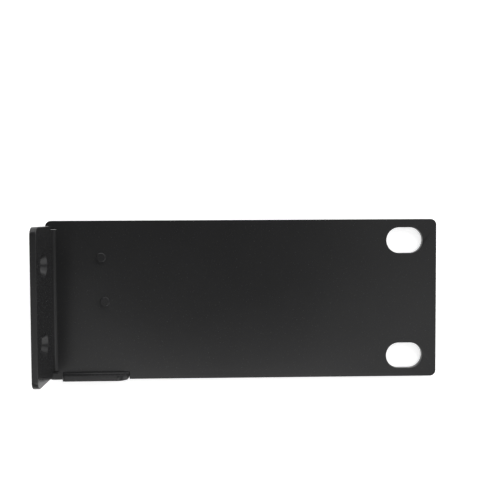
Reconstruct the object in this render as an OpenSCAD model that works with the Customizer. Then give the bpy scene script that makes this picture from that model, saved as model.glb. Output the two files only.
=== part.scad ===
// Rack mount ear bracket: one sheet steel blank, folded up at one end into a flange that
// screws to the side of a device, with two open slots at the other end for the rack rail.
//
// Frame: the plate lies flat with its outer face on z = 0 and the flange standing up at -X.
// X runs along the plate towards the slots, Y across it. The origin is the middle of the
// overall box, on the outer face. The sizes along X below start at the flange's outer face.

/* [Plate] */
// Length, from the flange's outer face to the free end
plate_l = 106; // [80:0.5:150]
// Width, from one long edge to the other
plate_w = 43.3; // [42.5:0.1:44.4]
// Thickness of the coated sheet
sheet_t = 1.6; // [1.5:0.1:2]
// Radius of the plate's four corners
plate_corner_r = 1.6; // [0.5:0.1:2]

/* [Rack slots] */
// Distance between the centres of the two slots, across the plate
slot_pitch = 31.75; // [31:0.05:32]
// Length of a slot, end to end, along the plate
slot_l = 10; // [8.5:0.1:12]
// Width of a slot, across the plate
slot_w = 7; // [6:0.1:8]
// From the free end to the slots' centre line
slot_edge = 8.75; // [8:0.05:12]

/* [Flange] */
// Height of the flange, from the plate's outer face to its top edge
flange_h = 17.5; // [16.5:0.1:24]
// Inner radius of the flange's bend
flange_bend_r = 0.9; // [0.6:0.1:1.2]
// Radius of the flange's two top corners
flange_corner_r = 2.2; // [1:0.1:4]
// How far the flange stops short of the plate's top long edge
flange_gap_top = 1.4; // [0.5:0.1:1.8]
// How far the flange stops short of the plate's bottom long edge, where the tab is
flange_gap_bottom = 1.2; // [0.5:0.1:1.8]

/* [Bend reliefs] */
// How far each relief reaches in from the plate's long edge
relief_depth = 2.4; // [2.2:0.1:4]
// Width of the sheared cut between the bend and the flat strip beside it
relief_cut = 0.15; // [0.1:0.05:0.6]
// Height of the gap between the flat strip and the flange above it
relief_gap = 1.7; // [1.6:0.1:2.2]
// How far the flat strips at the plate's two corners reach past the flange's outer face
strip_past = 0.5; // [0:0.1:0.5]

/* [Device holes] */
// Distance between the centres of the two countersunk holes
device_pitch = 20.6; // [16:0.1:28]
// Height of the holes above the plate's outer face
device_hole_z = 10.8; // [9.5:0.1:11.5]
// Diameter of the through holes
device_hole_d = 4; // [3.6:0.1:4.6]
// Diameter of the countersinks at the flange's inner face
countersink_d = 6.6; // [5.8:0.1:6.8]

/* [Edge tab] */
// From the flange's outer face to the near end of the tab
tab_start = 4; // [3.6:0.1:8]
// Length of the tab along the plate's bottom edge
tab_l = 17.7; // [8:0.1:40]
// Height of the tab, from the plate's outer face
tab_h = 3.8; // [3.2:0.1:6]
// Inner radius of the tab's bend
tab_bend_r = 0.5; // [0.3:0.1:0.8]
// Corner radius at the tab's end beside the flange
tab_near_r = 0.8; // [0.4:0.1:1]
// Corner radius at the tab's end towards the slots
tab_far_r = 3; // [1:0.1:3.2]
// Width of the sheared slit that frees each end of the tab
tab_slit = 0.15; // [0.1:0.05:0.6]

/* [Locating pips] */
// Diameter of a pip
pip_d = 2.4; // [1.8:0.1:4]
// How far a pip stands out of the inner face
pip_h = 0.6; // [0.3:0.1:0.9]
// From the flange's outer face to the upper pip
upper_pip_x = 14.5; // [10:0.1:30]
// Height of the upper pip above the plate's bottom edge
upper_pip_y = 33.3; // [28:0.1:36]
// From the flange's outer face to the middle pip
middle_pip_x = 15.4; // [10:0.1:30]
// Height of the middle pip above the plate's bottom edge
middle_pip_y = 21.3; // [16:0.1:26]

/* [Hidden] */
$fn = 64;

// How far a cutting tool runs past the sheet
past = 1;
flange_outer_r = flange_bend_r + sheet_t;
tab_outer_r = tab_bend_r + sheet_t;
flange_foot_z = sheet_t + relief_gap;
strip_w = relief_depth - relief_cut;
countersink_depth = (countersink_d - device_hole_d) / 2;
slot_x = plate_l - slot_edge;
PIPS = [[upper_pip_x, upper_pip_y], [middle_pip_x, middle_pip_y]];

// A rectangle from the origin with four round corners
module rounded_rectangle(length, width, r) {
    translate([r, 0]) square([length - 2 * r, width]);
    translate([0, r]) square([length, width - 2 * r]);
    for (x = [r, length - r], y = [r, width - r]) translate([x, y]) circle(r);
}

// A rectangle from the origin with its two top corners round
module round_topped(width, height, left_r, right_r) {
    difference() {
        square([width, height]);
        translate([0, height - left_r]) square(left_r);
        translate([width - right_r, height - right_r]) square(right_r);
    }
    translate([left_r, height - left_r]) circle(left_r);
    translate([width - right_r, height - right_r]) circle(right_r);
}

// Puts a profile drawn in Y and Z on its side and sweeps it along X
module along_x(length) {
    rotate([90, 0, 90]) linear_extrude(length) children();
}

// Puts a profile drawn in X and Z on its side and sweeps it along Y
module along_y(length) {
    translate([0, length, 0]) rotate([90, 0, 0]) linear_extrude(length) children();
}

// The section of a right-angled bend: a quarter ring about the bend's centre, which lies
// one outer radius from both outer faces
module bend_section(inner_r) {
    outer_r = inner_r + sheet_t;
    intersection() {
        square(outer_r);
        translate([outer_r, outer_r]) difference() {
            circle(outer_r);
            circle(inner_r);
        }
    }
}

// The flat of the plate, cut away where the two bends take over from it
module plate_flat() {
    linear_extrude(sheet_t) difference() {
        translate([-strip_past, 0]) rounded_rectangle(plate_l + strip_past, plate_w, plate_corner_r);
        translate([-strip_past - past, strip_w])
            square([strip_past + past + flange_outer_r, plate_w - 2 * strip_w]);
        translate([tab_start - tab_slit, -past]) square([tab_l + 2 * tab_slit, tab_outer_r + past]);
    }
}

// The bend between the two reliefs, and the flange that it carries
module flange() {
    root_w = plate_w - 2 * relief_depth;
    flange_w = plate_w - flange_gap_top - flange_gap_bottom;
    translate([0, relief_depth, 0]) along_y(root_w) bend_section(flange_bend_r);
    along_x(sheet_t) {
        translate([relief_depth, flange_outer_r])
            square([root_w, flange_h - flange_corner_r - flange_outer_r]);
        translate([flange_gap_bottom, flange_foot_z])
            round_topped(flange_w, flange_h - flange_foot_z, flange_corner_r, flange_corner_r);
    }
}

// The low tab folded up from the plate's bottom edge, flush with that edge
module edge_tab() {
    translate([tab_start, 0, 0]) intersection() {
        along_x(tab_l) {
            bend_section(tab_bend_r);
            translate([0, tab_outer_r]) square([sheet_t, tab_h]);
        }
        along_y(tab_outer_r) round_topped(tab_l, tab_h, tab_near_r, tab_far_r);
    }
}

// One slot through the plate for the rack's screw, centred on the origin
module rack_slot() {
    straight = slot_l - slot_w;
    translate([0, 0, -past]) linear_extrude(sheet_t + 2 * past) {
        square([straight, slot_w], center = true);
        for (side = [-1, 1]) translate([side * straight / 2, 0]) circle(d = slot_w);
    }
}

// One through hole along X with its countersink at the flange's inner face
module device_hole() {
    rotate([0, 90, 0]) {
        translate([0, 0, -past]) cylinder(d = device_hole_d, h = sheet_t + 2 * past);
        translate([0, 0, sheet_t - countersink_depth])
            cylinder(d1 = device_hole_d, d2 = countersink_d, h = countersink_depth);
        translate([0, 0, sheet_t]) cylinder(d = countersink_d, h = past);
    }
}

// The metal of one pip, pressed through from the outer face
module pip(d, from_z, to_z) {
    translate([0, 0, from_z]) cylinder(d = d, h = to_z - from_z);
}

module ear_bracket() {
    color("#2b2c2e") translate([(strip_past - plate_l) / 2, -plate_w / 2, 0]) difference() {
        union() {
            plate_flat();
            flange();
            edge_tab();
            for (p = PIPS) translate(p) pip(pip_d, sheet_t / 2, sheet_t + pip_h);
        }
        for (p = PIPS) translate(p) pip(pip_d, -past, pip_h);
        for (side = [-1, 1]) {
            translate([slot_x, plate_w / 2 + side * slot_pitch / 2, 0]) rack_slot();
            translate([0, plate_w / 2 + side * device_pitch / 2, device_hole_z]) device_hole();
        }
    }
}

ear_bracket();
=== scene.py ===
"""A rack ear bracket, folded from one sheet of steel and powder coated black, on a white floor."""

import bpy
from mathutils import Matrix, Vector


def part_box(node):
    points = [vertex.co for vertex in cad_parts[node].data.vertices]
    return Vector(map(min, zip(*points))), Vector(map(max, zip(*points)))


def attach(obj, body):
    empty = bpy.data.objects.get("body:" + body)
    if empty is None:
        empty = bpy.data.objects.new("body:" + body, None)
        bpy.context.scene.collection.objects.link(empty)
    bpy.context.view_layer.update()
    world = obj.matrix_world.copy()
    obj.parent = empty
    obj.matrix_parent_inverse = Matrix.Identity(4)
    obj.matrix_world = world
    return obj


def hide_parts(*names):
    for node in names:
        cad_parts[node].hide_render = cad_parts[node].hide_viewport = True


bl_info = {
    "name": "Folded Rack Ear Bracket",
    "version": (1, 0, 0),
    "blender": (4, 5, 0),
    "location": "View3D > Sidebar > Rack Ear",
    "description": "Cuts, presses, folds and coats a rack ear bracket, and sets its studio stage",
    "category": "Add Mesh",
}

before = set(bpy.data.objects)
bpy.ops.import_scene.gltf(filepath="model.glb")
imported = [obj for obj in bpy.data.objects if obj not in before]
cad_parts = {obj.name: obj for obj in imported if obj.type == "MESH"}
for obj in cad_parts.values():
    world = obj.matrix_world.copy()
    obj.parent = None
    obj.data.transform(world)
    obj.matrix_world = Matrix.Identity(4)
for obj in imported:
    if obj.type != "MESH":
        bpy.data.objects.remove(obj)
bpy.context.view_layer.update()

from math import acos, ceil, cos, pi, radians, sin

import bmesh
import bpy
from bpy.props import FloatProperty, FloatVectorProperty, PointerProperty
from mathutils import Matrix, Vector
from mathutils.geometry import delaunay_2d_cdt

MM = 0.001
SHEET_LOW, SHEET_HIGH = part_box("ear_bracket")
SHEET_SIZE = SHEET_HIGH - SHEET_LOW
# How far the flat strips at the plate's two corners reach past the flange's outer face
STRIP_PAST = 0.5 * MM

# Where a bend's neutral line lies, as a share of the sheet's thickness from the inner face
NEUTRAL_SHARE = 0.44
# Strips that make up one bend, and facets that make up one rounded edge
BEND_STRIPS = 8
EDGE_FACETS = 3
# How far a chord may stray from its arc, and how near two points of a loop count as one
CHORD_ERROR = 0.003 * MM
SAME_POINT = CHORD_ERROR / 10
# Values of the "flap" attribute, which says what each vertex of the blank folds with
PLATE, FLANGE, TAB = 0, 1, 2

# A stretch of outline that advances less than this, in metres, runs along a line, not across it
SHORTEST_CROSSING = 1e-9
# A crossing this near to an end of its stretch, as a share of the stretch, is that end itself
END_SHARE = 1e-6
# How far from a line a point may lie and still be on it, in metres
ON_LINE = 1e-8
# The kind of triangulation, which fills the outlines' inside, and its tolerance in millimetres
INSIDE_OUTLINES, FILL_TOLERANCE = 1, 1e-6
# Vertices nearer to each other than this, in metres, become one
MERGE_DISTANCE = 1e-7
# The middle of the countersink's rim, past the cone and below the face, in edge radii
RIM_PAST, RIM_BELOW = 0.1, 0.15

# The width of one bump of the orange peel, and of one cloud of uneven shade, in grains
PEEL_GRAINS, CLOUD_GRAINS = 6, 60
# How the peel breaks up the painted edge sheen, a lighter colour along the edges: factor and
# offset
SHEEN_FACTOR, SHEEN_OFFSET = 1.2, -0.1
# How the clouds vary the coat's shade: factor and offset
CLOUD_FACTOR, CLOUD_OFFSET = 0.3, 0.85
# How much the roughness varies over one grain, and the strength of the coat's mirror image
GRAIN_ROUGHNESS = 0.12
COAT_SPECULAR = 0.4
# The height of the orange peel, in heights of the grain, and the strength of both together
PEEL_HEIGHT = 1.5
BUMP_STRENGTH = 0.6

# The floor's half side in metres, how far it lies below the part, its whiteness and roughness
FLOOR_HALF = 0.7
FLOOR_DROP = 0.05 * MM
FLOOR_WHITE = 0.9
FLOOR_ROUGHNESS = 0.9
# The strength of the world as light
WORLD_LIGHT = 0.03
# The lamps' distance from the part, and the two sizes of lamp, in metres
LAMP_DISTANCE = 1.0
WIDE, SMALL = (1.4, 0.7), (0.5, 0.5)
# Each lamp's direction round the part and height above the floor, in degrees, its size, the watts
# that the coat mirrors and the watts of a second lamp in its place that the coat doesn't mirror
LAMPS = (
    (50, 20, WIDE, 2.9, 13.4),
    (95, 20, WIDE, 2.9, 4.5),
    (135, 20, WIDE, 2.9, 0.0),
    (225, 20, WIDE, 1.9, 0.0),
    (315, 20, WIDE, 4.2, 0.0),
    (0, 65, SMALL, 0.22, 0.0),
    (270, 60, SMALL, 1.26, 0.0),
    (315, 60, SMALL, 0.47, 0.0),
    (225, 60, SMALL, 0.63, 0.0),
    (45, 60, SMALL, 0.32, 0.0),
)
# The camera's sensor width in millimetres, and how near it sees in metres
SENSOR_WIDTH = 36.0
NEAREST_SEEN = 0.01


def length(name, metres, description):
    """A property that holds a length."""
    return FloatProperty(name=name, description=description, default=metres, min=0.0,
                         precision=5, subtype="DISTANCE", unit="LENGTH")


class EarSheetSizes(bpy.types.PropertyGroup):
    """The sizes of the folded sheet."""

    length: length("Length", SHEET_SIZE.x - STRIP_PAST,
                   "From the flange's outer face to the free end")
    width: length("Width", SHEET_SIZE.y, "From one long edge to the other")
    thickness: length("Thickness", 1.6 * MM, "Thickness of the coated sheet")
    corner_radius: length("Corner radius", 1.6 * MM, "Radius of the plate's corners")
    edge_radius: length("Edge radius", 0.14 * MM, "Rounding that the coat gives every cut edge")
    nick_radius: length("Nick radius", 0.18 * MM, "Radius of the small corners of the outline")

    slot_pitch: length("Slot pitch", 31.75 * MM, "Distance between the slots' centres")
    slot_length: length("Slot length", 10 * MM, "Length of a slot, end to end")
    slot_width: length("Slot width", 7 * MM, "Width of a slot")
    slot_edge: length("Slot edge", 8.75 * MM, "From the free end to the slots' centre line")

    flange_height: length("Flange height", SHEET_SIZE.z, "From the plate's outer face to its top")
    flange_bend: length("Flange bend", 0.9 * MM, "Inner radius of the flange's bend")
    flange_corner: length("Flange corner", 2.2 * MM, "Radius of the flange's top corners")
    flange_gap_top: length("Top gap", 1.4 * MM, "How far the flange stops short of the top edge")
    flange_gap_bottom: length("Bottom gap", 1.2 * MM, "The same at the edge with the tab")

    relief_depth: length("Relief depth", 2.4 * MM, "How far a bend relief reaches in")
    relief_cut: length("Relief cut", 0.06 * MM, "Width of the cut beside the bend")
    relief_gap: length("Relief gap", 1.7 * MM, "Gap between the flat strip and the flange over it")
    strip_past: length("Strip past", STRIP_PAST, "How far the flat strips reach past the flange")

    hole_pitch: length("Hole pitch", 20.6 * MM, "Distance between the device holes' centres")
    hole_height: length("Hole height", 10.8 * MM, "Height of the device holes")
    hole_diameter: length("Hole diameter", 4 * MM, "Diameter of the device holes")
    countersink: length("Countersink", 6.6 * MM, "Diameter of the countersinks")

    tab_start: length("Tab start", 4 * MM, "From the flange's outer face to the tab")
    tab_length: length("Tab length", 17.7 * MM, "Length of the tab along the edge")
    tab_height: length("Tab height", 3.8 * MM, "From the plate's outer face to the tab's top")
    tab_bend: length("Tab bend", 0.5 * MM, "Inner radius of the tab's bend")
    tab_near_corner: length("Tab near corner", 0.8 * MM, "Corner radius beside the flange")
    tab_far_corner: length("Tab far corner", 3 * MM, "Corner radius towards the slots")
    tab_slit: length("Tab slit", 0.06 * MM, "Width of the slit at each end of the tab")

    pip_diameter: length("Pip diameter", 2.4 * MM, "Diameter of a locating pip")
    pip_height: length("Pip height", 0.6 * MM, "How far a pip stands out")
    upper_pip: FloatVectorProperty(
        name="Upper pip", description="Its place, from the flange's outer face and the tab's edge",
        size=2, default=(14.5 * MM, 33.3 * MM), subtype="XYZ_LENGTH", unit="LENGTH")
    middle_pip: FloatVectorProperty(
        name="Middle pip", description="Its place, measured as the upper pip's is",
        size=2, default=(15.4 * MM, 21.3 * MM), subtype="XYZ_LENGTH", unit="LENGTH")


class EarCoatFinish(bpy.types.PropertyGroup):
    """The finish of the powder coat."""

    colour: FloatVectorProperty(
        name="Colour", description="Colour of the coat", subtype="COLOR",
        size=3, min=0.0, max=1.0, default=(0.0134, 0.0134, 0.0138))
    # A painted sheen: the lighter colour laid along the rounded edges, where light would catch
    # them
    painted_sheen_colour: FloatVectorProperty(
        name="Thin colour", description="Colour where the coat is thin, along the edges",
        subtype="COLOR", size=3, min=0.0, max=1.0, default=(0.0211, 0.0211, 0.0217))
    roughness: FloatProperty(
        name="Roughness", description="Mean roughness of the coat", subtype="FACTOR",
        min=0.0, max=1.0, default=0.25)
    grain: length("Grain", 0.28 * MM, "Width of one grain of the fine texture")
    relief: length("Relief", 0.006 * MM, "Height of the fine texture")


class EarStage(bpy.types.PropertyGroup):
    """The camera and the lamps."""

    camera_place: FloatVectorProperty(
        name="Camera", description="Where the camera stands", size=3,
        default=(-4.85 * MM, 22.69 * MM, 175.97 * MM), subtype="XYZ_LENGTH", unit="LENGTH")
    camera_turn: FloatVectorProperty(
        name="Camera turn", description="How the camera is turned", size=3,
        default=(radians(-2.131), radians(-1.408), radians(-0.285)), subtype="EULER")
    lens: FloatProperty(name="Lens", description="Focal length in millimetres, on a 36 mm sensor",
                        default=48.13, min=10.0, max=200.0)
    lamp_power: FloatProperty(name="Lamp power", description="Multiplies the watts of every lamp",
                              default=1.0, min=0.0)
    backdrop: FloatProperty(name="Backdrop", description="Brightness the floor adds by itself",
                            default=0.6, min=0.0, max=1.0)


# ---------------------------------------------------------------- the flat blank


def bend_length(inner_radius, thickness):
    """The length of flat sheet that a right-angled bend takes up."""
    return (inner_radius + NEUTRAL_SHARE * thickness) * pi / 2


class Layout:
    """The lines of the flat blank, measured from the flange's outer face and the tab's edge."""

    def __init__(self, s):
        self.flange_line = s.flange_bend + s.thickness
        self.flange_end = self.flange_line - bend_length(s.flange_bend, s.thickness)
        self.foot = self.flange_end - (s.thickness + s.relief_gap - self.flange_line)
        self.top = self.flange_end - (s.flange_height - self.flange_line)
        self.holes = self.flange_end - (s.hole_height - self.flange_line)
        self.strip = s.relief_depth - s.relief_cut
        self.tab_line = s.tab_bend + s.thickness
        self.tab_bend_end = self.tab_line - bend_length(s.tab_bend, s.thickness)
        self.tab_top = self.tab_bend_end - (s.tab_height - self.tab_line)
        self.tab_end = s.tab_start + s.tab_length
        self.slots = s.length - s.slot_edge


def blank_corners(s, at):
    """The blank's corners, anticlockwise from the free end, each with its radius."""
    nick, cut, slit = s.nick_radius, s.relief_cut / 2, s.tab_slit / 2
    upper_end = [
        (s.length, 0, s.corner_radius),
        (s.length, s.width, s.corner_radius),
        (-s.strip_past, s.width, s.corner_radius),
        (-s.strip_past, s.width - at.strip, nick),
        (at.flange_line, s.width - at.strip, cut),
        (at.flange_line, s.width - s.relief_depth, cut),
    ]
    flange = [
        (at.foot, s.width - s.relief_depth, nick),
        (at.foot, s.width - s.flange_gap_top, nick),
        (at.top, s.width - s.flange_gap_top, s.flange_corner),
        (at.top, s.flange_gap_bottom, s.flange_corner),
        (at.foot, s.flange_gap_bottom, nick),
        (at.foot, s.relief_depth, nick),
    ]
    lower_strip = [
        (at.flange_line, s.relief_depth, cut),
        (at.flange_line, at.strip, cut),
        (-s.strip_past, at.strip, nick),
        (-s.strip_past, 0, s.corner_radius),
    ]
    tab = [
        (s.tab_start - s.tab_slit, 0, nick),
        (s.tab_start - s.tab_slit, at.tab_line, slit),
        (s.tab_start, at.tab_line, slit),
        (s.tab_start, at.tab_top, s.tab_near_corner),
        (at.tab_end, at.tab_top, s.tab_far_corner),
        (at.tab_end, at.tab_line, slit),
        (at.tab_end + s.tab_slit, at.tab_line, slit),
        (at.tab_end + s.tab_slit, 0, nick),
    ]
    return upper_end + flange + lower_strip + tab


def hole_corners(centre, long_side, short_side):
    """The corners of a round-ended hole that runs along X, clockwise, as holes are."""
    x, y = centre
    a, b = long_side / 2, short_side / 2
    return [(x - a, y - b, b), (x - a, y + b, b), (x + a, y + b, b), (x + a, y - b, b)]


def rounded_loop(corners):
    """A closed loop of (point, normal) through rounded corners. The sheet lies on the loop's
    left, and every normal points away from it."""
    places = [Vector(corner[:2]) for corner in corners]
    loop = []
    for i, (place, corner) in enumerate(zip(places, corners)):
        radius = corner[2]
        arriving = (place - places[i - 1]).normalized()
        leaving = (places[(i + 1) % len(places)] - place).normalized()
        first = Vector((arriving.y, -arriving.x))
        last = Vector((leaving.y, -leaving.x))
        side = 1 if arriving.cross(leaving) > 0 else -1
        centre = place - (first + last) * side * radius / (1 + first.dot(last))
        turn = acos(max(-1.0, min(1.0, first.dot(last))))
        steps = ceil(turn / (2 * acos(1 - CHORD_ERROR / radius)))
        for step in range(steps + 1):
            angle = side * turn * step / steps
            normal = Matrix.Rotation(angle, 2) @ first
            point = centre + normal * side * radius
            if not loop or (point - loop[-1][0]).length > SAME_POINT:
                loop.append((point, normal))
    if (loop[0][0] - loop[-1][0]).length < SAME_POINT:
        loop.pop()
    return loop


def with_crossings(loop, lines):
    """The loop with a point added wherever it crosses a line: each line is (axis, value)."""
    result = []
    for (point, normal), (following, next_normal) in zip(loop, loop[1:] + loop[:1]):
        result.append((point, normal))
        shares = []
        for axis, value in lines:
            span = following[axis] - point[axis]
            if abs(span) > SHORTEST_CROSSING:
                share = (value - point[axis]) / span
                if END_SHARE < share < 1 - END_SHARE:
                    shares.append(share)
        for share in sorted(shares):
            between = normal.lerp(next_normal, share).normalized()
            result.append((point.lerp(following, share), between))
    return result


def crease_ends(loop, axis, value, middle):
    """The indices of the loop's points on a line that lie nearest to its middle, one on each
    side of it."""
    places = {i: point[1 - axis] for i, (point, _) in enumerate(loop)
              if abs(point[axis] - value) < ON_LINE}
    low = max((i for i in places if places[i] < middle), key=places.get)
    high = min((i for i in places if places[i] > middle), key=places.get)
    return low, high


def bend_stations(line, end):
    """The places of a bend's strips across it, from the bend line to the bend's end."""
    return [line + (end - line) * i / BEND_STRIPS for i in range(BEND_STRIPS + 1)]


# ---------------------------------------------------------------- profiles of cut edges


def edge_arc(radius, from_face):
    """The quarter round of a cut edge, as (inset, distance from the flat face, share of painted
    edge sheen, strongest halfway round). It runs from the flat face to the cut wall, or the other
    way."""
    arc = []
    for i in range(EDGE_FACETS + 1):
        a = pi / 2 * i / EDGE_FACETS
        arc.append((radius * (1 - sin(a)), radius * (1 - cos(a)), sin(2 * a)))
    return arc if from_face else arc[::-1]


def plain_profile(s):
    """The profile of a cut edge, from the outer face to the inner face."""
    r, t = s.edge_radius, s.thickness
    lower = edge_arc(r, True)
    upper = [(inset, t - height, sheened) for inset, height, sheened in edge_arc(r, False)]
    return lower + upper


def countersunk_profile(s):
    """The profile of a device hole, from the outer face to the countersink's rim."""
    r, t = s.edge_radius / 2, s.thickness
    depth = (s.countersink - s.hole_diameter) / 2
    lower = edge_arc(r, True)
    cone = [(0, t - depth, 0), (depth - r, t - r, 0)]
    # At the middle of the rim the painted edge sheen is at its strongest
    rim = [(depth + RIM_PAST * r, t - RIM_BELOW * r, 1), (depth + r, t, 0)]
    return lower + cone + rim


def pip_profile(s):
    """The profile of a pip's boss, from the inner face to its top."""
    r, t = s.edge_radius, s.thickness
    foot = [(inset, t + height, 0) for inset, height, _ in edge_arc(r, True)]
    top = t + s.pip_height
    crown = [(-inset, top - height, sheened) for inset, height, sheened in edge_arc(r, False)]
    return foot + crown


def recess_profile(s):
    """The profile of the recess behind a pip, from the outer face to its floor."""
    r = s.edge_radius
    mouth = edge_arc(r, True)
    floor = [(0, s.pip_height - r / 2, 0), (-r / 2, s.pip_height, 0)]
    return mouth + floor


# ---------------------------------------------------------------- the blank's mesh


class Blank:
    """A flat blank under construction: its mesh, and the share of painted edge sheen at each
    vertex.
    """

    def __init__(self):
        self.bm = bmesh.new()
        # Painted edge sheen: how much lighter the coat's colour is painted at each vertex along
        # the rounded edges
        self.sheened = self.bm.verts.layers.float.new("painted_edge_sheen")
        self.flap = self.bm.verts.layers.int.new("flap")

    def wall(self, loop, profile):
        """Sweeps a wall round a loop, one ring for each step of the profile. Returns the rings."""
        rings = []
        for inset, height, sheened in profile:
            ring = []
            for point, normal in loop:
                vertex = self.bm.verts.new((*(point - normal * inset), height))
                vertex[self.sheened] = sheened
                ring.append(vertex)
            rings.append(ring)
        for lower, upper in zip(rings, rings[1:]):
            for i, vertex in enumerate(lower):
                j = (i + 1) % len(lower)
                self.bm.faces.new((vertex, lower[j], upper[j], upper[i]))
        return rings

    def face(self, rings, creases):
        """Fills the flat face that the rings bound, with an edge along each crease. A crease is
        a pair of indices into the first ring."""
        vertices = [vertex for ring in rings for vertex in ring]
        flat = [Vector((vertex.co.x, vertex.co.y)) / MM for vertex in vertices]
        edges, outlines, start = list(creases), [], 0
        for ring in rings:
            count = len(ring)
            edges += [(start + i, start + (i + 1) % count) for i in range(count)]
            outlines.append(flat[start:start + count])
            start += count
        points, _, triangles, sources, _, _ = delaunay_2d_cdt(
            flat, edges, [], INSIDE_OUTLINES, FILL_TOLERANCE)
        for triangle in triangles:
            middle = sum((points[i] for i in triangle), Vector((0, 0))) / 3
            if sum(crosses(outline, middle) for outline in outlines) % 2:
                self.bm.faces.new([vertices[sources[i][0]] for i in triangle])

    def disc(self, ring):
        """Closes a ring with one flat face."""
        self.bm.faces.new(ring)


def crosses(outline, place):
    """How often a ray from the place along +X crosses the outline."""
    count = 0
    for a, b in zip(outline, outline[1:] + outline[:1]):
        if (a.y > place.y) != (b.y > place.y):
            if place.x < a.x + (place.y - a.y) / (b.y - a.y) * (b.x - a.x):
                count += 1
    return count


def flap_of(s, at, place):
    """Which flap of the blank a place belongs to."""
    beside_root = s.relief_depth - s.relief_cut / 2
    in_root = beside_root < place.y < s.width - beside_root
    if place.x < (at.foot - s.strip_past) / 2 or (in_root and place.x < at.flange_line):
        return FLANGE
    margin = s.tab_slit / 2
    if place.y < at.tab_line and s.tab_start - margin < place.x < at.tab_end + margin:
        return TAB
    return PLATE


def flat_blank(s, at):
    """The mesh of the flat blank, with its slots, holes, pips and rounded edges."""
    flange_stations = bend_stations(at.flange_line, at.flange_end)
    tab_stations = bend_stations(at.tab_line, at.tab_bend_end)
    lines = [(0, x) for x in flange_stations] + [(1, y) for y in tab_stations]
    outline = with_crossings(rounded_loop(blank_corners(s, at)), lines)
    tab_middle = (s.tab_start + at.tab_end) / 2
    creases = [crease_ends(outline, 0, x, s.width / 2) for x in flange_stations]
    creases += [crease_ends(outline, 1, y, tab_middle) for y in tab_stations]

    blank = Blank()
    through = [blank.wall(outline, plain_profile(s))]
    for side in (-1, 1):
        slot = (at.slots, s.width / 2 + side * s.slot_pitch / 2)
        loop = rounded_loop(hole_corners(slot, s.slot_length, s.slot_width))
        through.append(blank.wall(loop, plain_profile(s)))
        hole = (at.holes, s.width / 2 + side * s.hole_pitch / 2)
        loop = rounded_loop(hole_corners(hole, s.hole_diameter, s.hole_diameter))
        through.append(blank.wall(loop, countersunk_profile(s)))
    outer_rings = [rings[0] for rings in through]
    inner_rings = [rings[-1] for rings in through]
    for pip in (s.upper_pip, s.middle_pip):
        loop = rounded_loop(hole_corners(pip, s.pip_diameter, s.pip_diameter))
        boss = blank.wall(loop, pip_profile(s))
        recess = blank.wall(loop, recess_profile(s))
        blank.disc(boss[-1])
        blank.disc(recess[-1])
        inner_rings.append(boss[0])
        outer_rings.append(recess[0])
    blank.face(outer_rings, creases)
    blank.face(inner_rings, creases)

    for vertex in blank.bm.verts:
        vertex[blank.flap] = flap_of(s, at, vertex.co)
    bmesh.ops.remove_doubles(blank.bm, verts=blank.bm.verts, dist=MERGE_DISTANCE)
    bmesh.ops.recalc_face_normals(blank.bm, faces=blank.bm.faces)
    mesh = bpy.data.meshes.new("ear_bracket_sheet")
    blank.bm.to_mesh(mesh)
    blank.bm.free()
    mesh.shade_smooth()
    return mesh


# ---------------------------------------------------------------- folding


class Formula:
    """Writes sums in a node tree: each call adds a node and returns its result."""

    def __init__(self, tree):
        self.tree = tree

    def node(self, kind, **settings):
        """Adds a node with these settings."""
        made = self.tree.nodes.new(kind)
        for name, value in settings.items():
            setattr(made, name, value)
        return made

    def fill(self, socket, value):
        """Links another node's result to the socket, or sets the socket to a value."""
        if isinstance(value, bpy.types.NodeSocket):
            self.tree.links.new(value, socket)
        else:
            socket.default_value = value

    def number(self, operation, *values):
        """The result of an operation on numbers."""
        made = self.node("ShaderNodeMath", operation=operation)
        for socket, value in zip(made.inputs, values):
            self.fill(socket, value)
        return made.outputs["Value"]

    def vector(self, operation, first, second):
        """The result of an operation on two vectors, or on a vector and its scale."""
        made = self.node("ShaderNodeVectorMath", operation=operation)
        self.fill(made.inputs[0], first)
        self.fill(made.inputs["Scale"] if operation == "SCALE" else made.inputs[1], second)
        return made.outputs["Value" if operation == "DOT_PRODUCT" else "Vector"]


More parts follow.
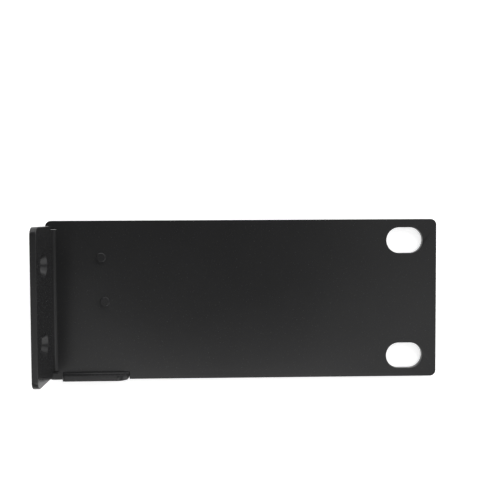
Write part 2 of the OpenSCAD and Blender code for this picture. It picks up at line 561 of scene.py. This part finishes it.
def fold_tree():
    """Geometry Nodes that fold one flap of a flat blank up about its bend line."""
    tree = bpy.data.node_groups.new("Press brake fold", "GeometryNodeTree")
    tree.interface.new_socket("Geometry", in_out="INPUT", socket_type="NodeSocketGeometry")
    tree.interface.new_socket("Flap", in_out="INPUT", socket_type="NodeSocketInt")
    tree.interface.new_socket("Bend Point", in_out="INPUT", socket_type="NodeSocketVector")
    tree.interface.new_socket("Direction", in_out="INPUT", socket_type="NodeSocketVector")
    for name in ("Inner Radius", "Thickness", "Bend Length", "Angle"):
        tree.interface.new_socket(name, in_out="INPUT", socket_type="NodeSocketFloat")
    tree.interface.new_socket("Coat", in_out="INPUT", socket_type="NodeSocketMaterial")
    tree.interface.new_socket("Geometry", in_out="OUTPUT", socket_type="NodeSocketGeometry")

    f = Formula(tree)
    given = f.node("NodeGroupInput").outputs
    place = f.node("GeometryNodeInputPosition").outputs["Position"]
    height = f.node("ShaderNodeSeparateXYZ")
    f.fill(height.inputs[0], place)

    past_line = f.vector("DOT_PRODUCT", f.vector("SUBTRACT", place, given["Bend Point"]),
                         given["Direction"])
    run = f.number("MAXIMUM", past_line, 0.0)
    share = f.number("MINIMUM", f.number("DIVIDE", run, given["Bend Length"]), 1.0)
    turn = f.number("MULTIPLY", share, given["Angle"])
    beyond = f.number("MAXIMUM", f.number("SUBTRACT", run, given["Bend Length"]), 0.0)
    outer_radius = f.number("ADD", given["Inner Radius"], given["Thickness"])
    radius = f.number("SUBTRACT", outer_radius, height.outputs["Z"])
    sine = f.number("SINE", turn)
    cosine = f.number("COSINE", turn)

    reach = f.number("ADD", f.number("MULTIPLY", radius, sine),
                     f.number("MULTIPLY", beyond, cosine))
    along = f.number("SUBTRACT", reach, run)
    arc_rise = f.number("MULTIPLY", radius, f.number("SUBTRACT", 1.0, cosine))
    rise = f.number("ADD", arc_rise, f.number("MULTIPLY", beyond, sine))
    offset = f.vector("ADD", f.vector("SCALE", given["Direction"], along),
                      f.vector("SCALE", (0.0, 0.0, 1.0), rise))

    flap = f.node("GeometryNodeInputNamedAttribute", data_type="INT")
    flap.inputs["Name"].default_value = "flap"
    chosen = f.node("FunctionNodeCompare", data_type="INT", operation="EQUAL")
    f.fill(chosen.inputs[2], flap.outputs["Attribute"])
    f.fill(chosen.inputs[3], given["Flap"])
    folded = f.node("GeometryNodeSetPosition")
    f.fill(folded.inputs["Geometry"], given["Geometry"])
    f.fill(folded.inputs["Selection"], chosen.outputs["Result"])
    f.fill(folded.inputs["Offset"], offset)
    real = f.node("GeometryNodeRealizeInstances")
    f.fill(real.inputs["Geometry"], folded.outputs["Geometry"])
    coated = f.node("GeometryNodeSetMaterial")
    f.fill(coated.inputs["Geometry"], real.outputs["Geometry"])
    f.fill(coated.inputs["Material"], given["Coat"])
    f.fill(f.node("NodeGroupOutput").inputs["Geometry"], coated.outputs["Geometry"])
    return tree


def add_fold(sheet, tree, inputs):
    """Adds one fold to the sheet as a modifier."""
    fold = sheet.modifiers.new(tree.name, "NODES")
    fold.node_group = tree
    for item in tree.interface.items_tree:
        if item.in_out == "INPUT" and item.name in inputs:
            fold[item.identifier] = inputs[item.name]


def baked(sheet):
    """Puts the sheet's evaluated mesh in place of its modifiers."""
    evaluated = sheet.evaluated_get(bpy.context.evaluated_depsgraph_get())
    mesh = bpy.data.meshes.new_from_object(evaluated)
    sheet.modifiers.clear()
    sheet.data = mesh
    mesh.name = sheet.name


# ---------------------------------------------------------------- the coat


def powder_coat(finish):
    """Black powder coat: a fine, even grain over a slight orange peel, with a painted sheen that
    makes its colour a little greyer along the edges."""
    material = bpy.data.materials.new("black_powder_coat")
    material.use_nodes = True
    tree = material.node_tree
    shader = tree.nodes["Principled BSDF"]
    f = Formula(tree)
    place = f.node("ShaderNodeTexCoord").outputs["Object"]

    def noise(width, detail):
        made = f.node("ShaderNodeTexNoise")
        f.fill(made.inputs["Vector"], place)
        made.inputs["Scale"].default_value = 1 / width
        made.inputs["Detail"].default_value = detail
        return made.outputs["Fac"]

    grain = noise(finish.grain, 2.0)
    peel = noise(PEEL_GRAINS * finish.grain, 1.0)
    cloud = noise(CLOUD_GRAINS * finish.grain, 2.0)

    # Painted edge sheen: the coat's colour turns lighter along the rounded edges, where light
    # would catch them, broken up by the peel
    sheened = f.node("ShaderNodeAttribute", attribute_name="painted_edge_sheen").outputs["Fac"]
    broken = f.number("MULTIPLY_ADD", peel, SHEEN_FACTOR, SHEEN_OFFSET)
    patchy = f.number("MULTIPLY", sheened, broken)
    shade = f.node("ShaderNodeMix", data_type="RGBA")
    f.fill(shade.inputs["Factor"], patchy)
    f.fill(shade.inputs["A"], (*finish.colour, 1.0))
    f.fill(shade.inputs["B"], (*finish.painted_sheen_colour, 1.0))
    varied = f.node("ShaderNodeHueSaturation")
    f.fill(varied.inputs["Value"], f.number("MULTIPLY_ADD", cloud, CLOUD_FACTOR, CLOUD_OFFSET))
    f.fill(varied.inputs["Color"], shade.outputs["Result"])
    f.fill(shader.inputs["Base Color"], varied.outputs["Color"])

    shader.inputs["Specular IOR Level"].default_value = COAT_SPECULAR
    smoothest = finish.roughness - GRAIN_ROUGHNESS / 2
    rough = f.number("MULTIPLY_ADD", grain, GRAIN_ROUGHNESS, smoothest)
    f.fill(shader.inputs["Roughness"], rough)

    relief = f.number("ADD", grain, f.number("MULTIPLY", peel, PEEL_HEIGHT))
    bump = f.node("ShaderNodeBump")
    bump.inputs["Strength"].default_value = BUMP_STRENGTH
    bump.inputs["Distance"].default_value = finish.relief
    f.fill(bump.inputs["Height"], relief)
    f.fill(shader.inputs["Normal"], bump.outputs["Normal"])
    return material


# ---------------------------------------------------------------- the stage


def floor_material(glow):
    """A white floor that the camera and mirror rays see brighter than it is lit, so that it
    reads as white and keeps its shadow. From below it is clear, and hides nothing."""
    material = bpy.data.materials.new("white_floor")
    material.use_nodes = True
    tree = material.node_tree
    shader = tree.nodes["Principled BSDF"]
    shader.inputs["Base Color"].default_value = (FLOOR_WHITE, FLOOR_WHITE, FLOOR_WHITE, 1.0)
    shader.inputs["Roughness"].default_value = FLOOR_ROUGHNESS
    shader.inputs["Specular IOR Level"].default_value = 0.0
    shader.inputs["Emission Color"].default_value = (1.0, 1.0, 1.0, 1.0)
    f = Formula(tree)
    rays = f.node("ShaderNodeLightPath").outputs
    seen = f.number("MAXIMUM", rays["Is Camera Ray"],
                    f.number("MAXIMUM", rays["Is Glossy Ray"], rays["Is Transmission Ray"]))
    f.fill(shader.inputs["Emission Strength"], f.number("MULTIPLY", seen, glow))
    below = f.node("ShaderNodeNewGeometry").outputs["Backfacing"]
    mix = f.node("ShaderNodeMixShader")
    f.fill(mix.inputs["Fac"], below)
    f.fill(mix.inputs[1], shader.outputs["BSDF"])
    f.fill(mix.inputs[2], f.node("ShaderNodeBsdfTransparent").outputs["BSDF"])
    f.fill(tree.nodes["Material Output"].inputs["Surface"], mix.outputs["Shader"])
    return material


def studio_world():
    """A surround that is white to the camera alone and otherwise a dim room. The black coat
    mirrors that room too, since a white one would make it read as grey."""
    world = bpy.data.worlds.new("studio")
    bpy.context.scene.world = world
    world.use_nodes = True
    tree = world.node_tree
    background = tree.nodes["Background"]
    background.inputs["Color"].default_value = (1.0, 1.0, 1.0, 1.0)
    f = Formula(tree)
    seen = f.node("ShaderNodeLightPath").outputs["Is Camera Ray"]
    f.fill(background.inputs["Strength"], f.number("MAXIMUM", seen, WORLD_LIGHT))


def studio_floor(glow):
    """A square floor just below the part."""
    mesh = bpy.data.meshes.new("floor")
    corners = [(x * FLOOR_HALF, y * FLOOR_HALF, -FLOOR_DROP)
               for x, y in ((-1, -1), (1, -1), (1, 1), (-1, 1))]
    mesh.from_pydata(corners, [], [(0, 1, 2, 3)])
    mesh.materials.append(floor_material(glow))
    floor = bpy.data.objects.new("floor", mesh)
    bpy.context.scene.collection.objects.link(floor)


def softbox(name, turn, height, size, watts, mirrored):
    """A rectangular lamp that faces the part. If it isn't mirrored, glossy rays don't see it."""
    lamp = bpy.data.lights.new(name, "AREA")
    lamp.shape = "RECTANGLE"
    lamp.size, lamp.size_y = size
    lamp.energy = watts
    holder = bpy.data.objects.new(name, lamp)
    bpy.context.scene.collection.objects.link(holder)
    across = cos(radians(height))
    direction = Vector((across * cos(radians(turn)), across * sin(radians(turn)),
                        sin(radians(height))))
    holder.location = direction * LAMP_DISTANCE
    holder.rotation_euler = (-direction).to_track_quat("-Z", "Y").to_euler()
    holder.visible_glossy = mirrored


def studio_camera(stage):
    """The main view's camera."""
    camera = bpy.data.cameras.new("camera")
    camera.lens = stage.lens
    camera.sensor_width = SENSOR_WIDTH
    camera.clip_start = NEAREST_SEEN
    stand = bpy.data.objects.new("camera", camera)
    bpy.context.scene.collection.objects.link(stand)
    stand.location = stage.camera_place
    stand.rotation_euler = stage.camera_turn
    bpy.context.scene.camera = stand


class BRACKET_OT_folded_sheet(bpy.types.Operator):
    """Cut the blank, press its pips, fold its flange and tab, and coat it."""

    bl_idname = "bracket.folded_sheet"
    bl_label = "Folded Sheet"

    def execute(self, context):
        s = context.scene.ear_sheet
        at = Layout(s)
        coat = powder_coat(context.scene.ear_coat)
        sheet = bpy.data.objects.new("ear_bracket_sheet", flat_blank(s, at))
        context.scene.collection.objects.link(sheet)
        tree = fold_tree()
        both = {"Thickness": s.thickness, "Angle": pi / 2, "Coat": coat}
        add_fold(sheet, tree, {
            **both, "Flap": TAB, "Bend Point": (0.0, at.tab_line, 0.0),
            "Direction": (0.0, -1.0, 0.0), "Inner Radius": s.tab_bend,
            "Bend Length": bend_length(s.tab_bend, s.thickness)})
        add_fold(sheet, tree, {
            **both, "Flap": FLANGE, "Bend Point": (at.flange_line, 0.0, 0.0),
            "Direction": (-1.0, 0.0, 0.0), "Inner Radius": s.flange_bend,
            "Bend Length": bend_length(s.flange_bend, s.thickness)})
        sheet.modifiers.new("Even shading", "WEIGHTED_NORMAL")
        baked(sheet)
        sheet.data.transform(Matrix.Translation(SHEET_LOW + Vector((s.strip_past, 0, 0))))
        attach(sheet, "root")
        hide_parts("ear_bracket")
        return {"FINISHED"}


class BRACKET_OT_studio_stage(bpy.types.Operator):
    """Lay the white floor, hang the lamps and place the camera."""

    bl_idname = "bracket.studio_stage"
    bl_label = "Studio Stage"

    def execute(self, context):
        stage = context.scene.ear_stage
        studio_world()
        studio_floor(stage.backdrop)
        for turn, height, size, mirrored, hidden in LAMPS:
            softbox("softbox", turn, height, size, mirrored * stage.lamp_power, True)
            if hidden:
                softbox("bounce", turn, height, size, hidden * stage.lamp_power, False)
        studio_camera(stage)
        context.scene.view_settings.view_transform = "Standard"
        return {"FINISHED"}


class BRACKET_PT_rack_ear(bpy.types.Panel):
    """The bracket's sizes, its finish and its stage."""

    bl_label = "Rack Ear"
    bl_space_type = "VIEW_3D"
    bl_region_type = "UI"
    bl_category = "Rack Ear"

    def draw(self, context):
        scene = context.scene
        for group, operator in ((scene.ear_sheet, "bracket.folded_sheet"),
                                (scene.ear_coat, None),
                                (scene.ear_stage, "bracket.studio_stage")):
            box = self.layout.box()
            for name in group.bl_rna.properties.keys():
                if name not in ("rna_type", "name"):
                    box.prop(group, name)
            if operator:
                box.operator(operator)


CLASSES = (
    EarSheetSizes,
    EarCoatFinish,
    EarStage,
    BRACKET_OT_folded_sheet,
    BRACKET_OT_studio_stage,
    BRACKET_PT_rack_ear,
)


def register():
    for cls in CLASSES:
        bpy.utils.register_class(cls)
    bpy.types.Scene.ear_sheet = PointerProperty(type=EarSheetSizes)
    bpy.types.Scene.ear_coat = PointerProperty(type=EarCoatFinish)
    bpy.types.Scene.ear_stage = PointerProperty(type=EarStage)


def unregister():
    del bpy.types.Scene.ear_stage
    del bpy.types.Scene.ear_coat
    del bpy.types.Scene.ear_sheet
    for cls in reversed(CLASSES):
        bpy.utils.unregister_class(cls)


def main():
    register()
    bpy.ops.bracket.folded_sheet()
    bpy.ops.bracket.studio_stage()


if __name__ == "__main__":
    main()
